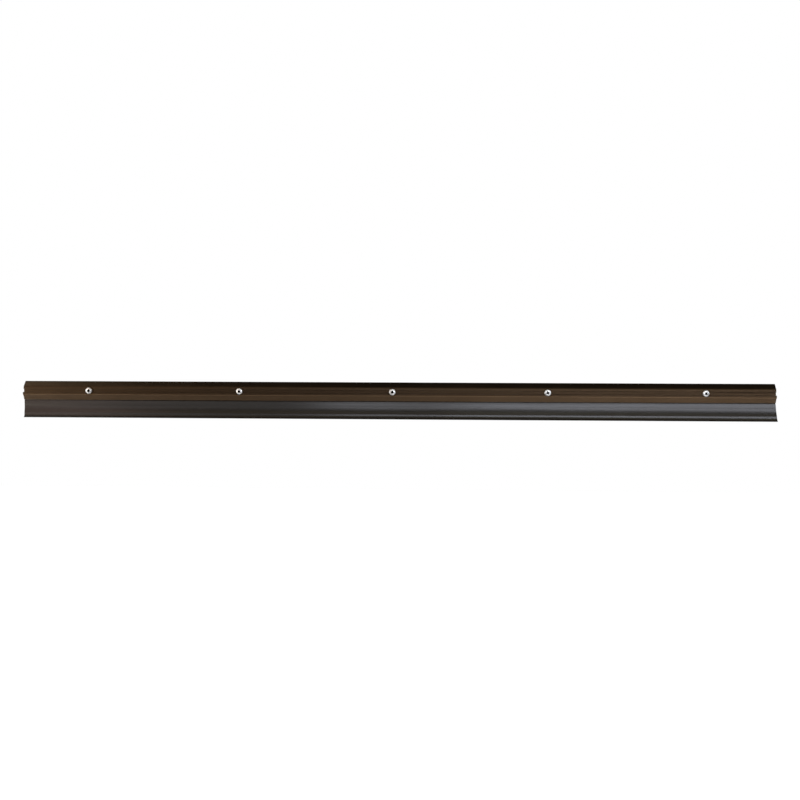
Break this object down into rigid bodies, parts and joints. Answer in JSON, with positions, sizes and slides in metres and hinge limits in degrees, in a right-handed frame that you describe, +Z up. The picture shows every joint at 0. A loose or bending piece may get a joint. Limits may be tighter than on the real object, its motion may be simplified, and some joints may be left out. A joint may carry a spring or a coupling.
{
  "type": "screw-on draught strip",
  "caption": "Straight draught strip for the foot of a door: a brown extruded carrier with chamfered top and screw channel, holding a soft dark sealing blade with a stepped, flared edge.",
  "frame": {"origin": "on the door's face, on the line of the screws, halfway along the strip", "axes": "+X along the strip, +Y into the door, +Z up"},
  "size_m": [1.0019, 0.0265, 0.049],
  "materials": {
    "carrier_aluminium": "satin brown, anodised, extruded",
    "blade_rubber": "soft, dark brown-black, slightly glossy",
    "screw_steel": "bright plated steel"
  },
  "bodies": {
    "root": {"carrier": "carrier_aluminium", "sealing_blade": "blade_rubber", "fixing_screws": "screw_steel"}
  },
  "joints": []
}
